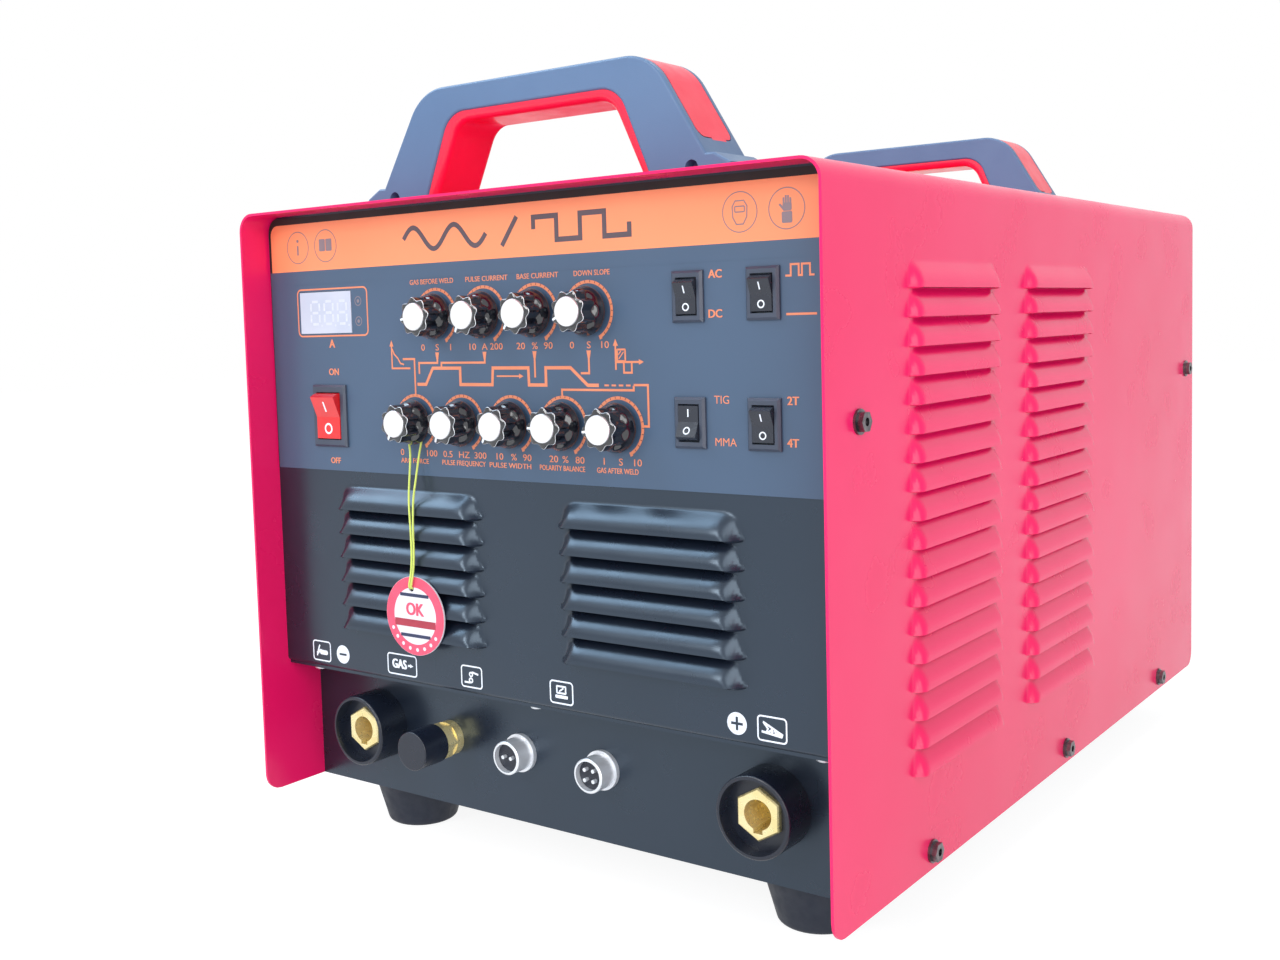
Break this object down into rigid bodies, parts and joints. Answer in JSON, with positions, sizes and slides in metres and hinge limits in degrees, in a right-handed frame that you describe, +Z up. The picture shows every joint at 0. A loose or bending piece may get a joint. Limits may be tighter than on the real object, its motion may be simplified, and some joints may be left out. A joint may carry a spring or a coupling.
{
  "type": "tig welding machine",
  "caption": "Free-standing TIG and MMA welding power source with a red louvred cover, recessed control front with knobs and rocker switches, connector bay and two carrying handles.",
  "frame": {"origin": "on the ground under the middle of the cover", "axes": "+Z up, the control front faces -Y, +X to the right of someone facing the front"},
  "size_m": [0.339, 0.508, 0.377],
  "materials": {
    "cover_red": "gloss",
    "panel_black": "satin",
    "overlay_print": "satin",
    "handle_black": "satin",
    "grip_red": "gloss",
    "steel": "satin",
    "screw_zinc": "satin",
    "chrome": "gloss",
    "foot_rubber": "matte",
    "knob_black": "gloss",
    "switch_black": "satin",
    "rocker_red": "gloss",
    "lens": "gloss",
    "black_plastic": "satin",
    "brass": "satin",
    "pot_metal": "satin",
    "zinc_plate": "satin",
    "aluminium": "satin",
    "board_green": "satin",
    "capacitor_sleeve": "gloss",
    "core_iron": "matte",
    "hose_rubber": "matte",
    "tag_paper": "matte",
    "tag_yarn": "matte"
  },
  "bodies": {
    "housing": {"cover": "cover_red", "front_panel": "panel_black", "control_overlay": "overlay_print", "connector_panel": "panel_black", "base_tray": "panel_black", "rear_panel": "panel_black", "front_handle_shells": "handle_black", "front_handle_core": "grip_red", "rear_handle_shells": "handle_black", "rear_handle_core": "grip_red", "handle_screws": "steel", "feet": "foot_rubber", "chassis_screws": "steel", "cover_screws": "screw_zinc", "ledge_screws": "chrome", "potentiometers": "pot_metal", "power_switch_body": "switch_black", "mode_switch_bodies": "switch_black", "display_window": "lens", "display_module": "black_plastic", "socket_collars": "black_plastic", "socket_inserts": "brass", "gas_outlet": "brass", "trigger_connector": "chrome", "remote_connector": "chrome", "connector_inserts": "black_plastic", "connector_pins": "chrome", "fan_frame": "black_plastic", "fan_grille": "steel", "cable_gland": "black_plastic", "gas_inlet": "brass", "earth_stud": "steel", "support_frame": "zinc_plate", "heat_sinks": "aluminium", "power_board": "board_green", "capacitors": "capacitor_sleeve", "control_board": "board_green", "transformer": "core_iron", "output_choke": "core_iron", "hf_coil": "core_iron", "gas_valve": "brass", "gas_hose": "hose_rubber"},
    "knob_1": {"knob_1": "knob_black"},
    "knob_2": {"knob_2": "knob_black"},
    "knob_3": {"knob_3": "knob_black"},
    "knob_4": {"knob_4": "knob_black"},
    "knob_5": {"knob_5": "knob_black"},
    "knob_6": {"knob_6": "knob_black"},
    "knob_7": {"knob_7": "knob_black"},
    "knob_8": {"knob_8": "knob_black"},
    "knob_9": {"knob_9": "knob_black"},
    "power_rocker": {"power_rocker": "rocker_red"},
    "ac_dc_rocker": {"ac_dc_rocker": "switch_black"},
    "pulse_rocker": {"pulse_rocker": "switch_black"},
    "process_rocker": {"process_rocker": "switch_black"},
    "trigger_mode_rocker": {"trigger_mode_rocker": "switch_black"},
    "fan": {"fan_rotor": "black_plastic"},
    "gas_cap": {"gas_cap": "black_plastic"},
    "tag": {"inspection_tag": "tag_paper", "tag_string": "tag_yarn"}
  },
  "joints": [
    {"name": "knob_1_turn", "type": "hinge", "parent": "housing", "child": "knob_1", "pos_m": [-0.047, -0.245, 0.2688], "axis": [0, 1, 0], "range_deg": [-52, 248]},
    {"name": "knob_2_turn", "type": "hinge", "parent": "housing", "child": "knob_2", "pos_m": [-0.017, -0.245, 0.2688], "axis": [0, 1, 0], "range_deg": [0, 300]},
    {"name": "knob_3_turn", "type": "hinge", "parent": "housing", "child": "knob_3", "pos_m": [0.013, -0.245, 0.2688], "axis": [0, 1, 0], "range_deg": [-9, 291]},
    {"name": "knob_4_turn", "type": "hinge", "parent": "housing", "child": "knob_4", "pos_m": [0.043, -0.245, 0.2688], "axis": [0, 1, 0], "range_deg": [-37, 263]},
    {"name": "knob_5_turn", "type": "hinge", "parent": "housing", "child": "knob_5", "pos_m": [-0.0625, -0.245, 0.2191], "axis": [0, 1, 0], "range_deg": [0, 300]},
    {"name": "knob_6_turn", "type": "hinge", "parent": "housing", "child": "knob_6", "pos_m": [-0.0325, -0.245, 0.2191], "axis": [0, 1, 0], "range_deg": [0, 300]},
    {"name": "knob_7_turn", "type": "hinge", "parent": "housing", "child": "knob_7", "pos_m": [-0.0025, -0.245, 0.2191], "axis": [0, 1, 0], "range_deg": [-4, 296]},
    {"name": "knob_8_turn", "type": "hinge", "parent": "housing", "child": "knob_8", "pos_m": [0.0275, -0.245, 0.2191], "axis": [0, 1, 0], "range_deg": [-60, 240]},
    {"name": "knob_9_turn", "type": "hinge", "parent": "housing", "child": "knob_9", "pos_m": [0.0575, -0.245, 0.2191], "axis": [0, 1, 0], "range_deg": [-53, 247]},
    {"name": "power_rocker_tilt", "type": "hinge", "parent": "housing", "child": "power_rocker", "pos_m": [-0.1215, -0.2368, 0.221], "axis": [-1, 0, 0], "range_deg": [0, 22]},
    {"name": "ac_dc_rocker_tilt", "type": "hinge", "parent": "housing", "child": "ac_dc_rocker", "pos_m": [0.0946, -0.2368, 0.2733], "axis": [-1, 0, 0], "range_deg": [0, 22]},
    {"name": "pulse_rocker_tilt", "type": "hinge", "parent": "housing", "child": "pulse_rocker", "pos_m": [0.1299, -0.2368, 0.2735], "axis": [-1, 0, 0], "range_deg": [0, 22]},
    {"name": "process_rocker_tilt", "type": "hinge", "parent": "housing", "child": "process_rocker", "pos_m": [0.0945, -0.2368, 0.2219], "axis": [1, 0, 0], "range_deg": [0, 22]},
    {"name": "trigger_mode_rocker_tilt", "type": "hinge", "parent": "housing", "child": "trigger_mode_rocker", "pos_m": [0.1295, -0.2368, 0.2219], "axis": [-1, 0, 0], "range_deg": [0, 22]},
    {"name": "fan_spin", "type": "hinge", "parent": "housing", "child": "fan", "pos_m": [0, 0.18, 0.175], "axis": [0, 1, 0], "continuous": true},
    {"name": "gas_cap_pull", "type": "slide", "parent": "housing", "child": "gas_cap", "axis": [0, -1, 0], "range_m": [0, 0.03]},
    {"name": "tag_swing", "type": "hinge", "parent": "housing", "child": "tag", "pos_m": [-0.0625, -0.238, 0.2191], "axis": [0, 1, 0], "range_deg": [-20, 20]}
  ]
}
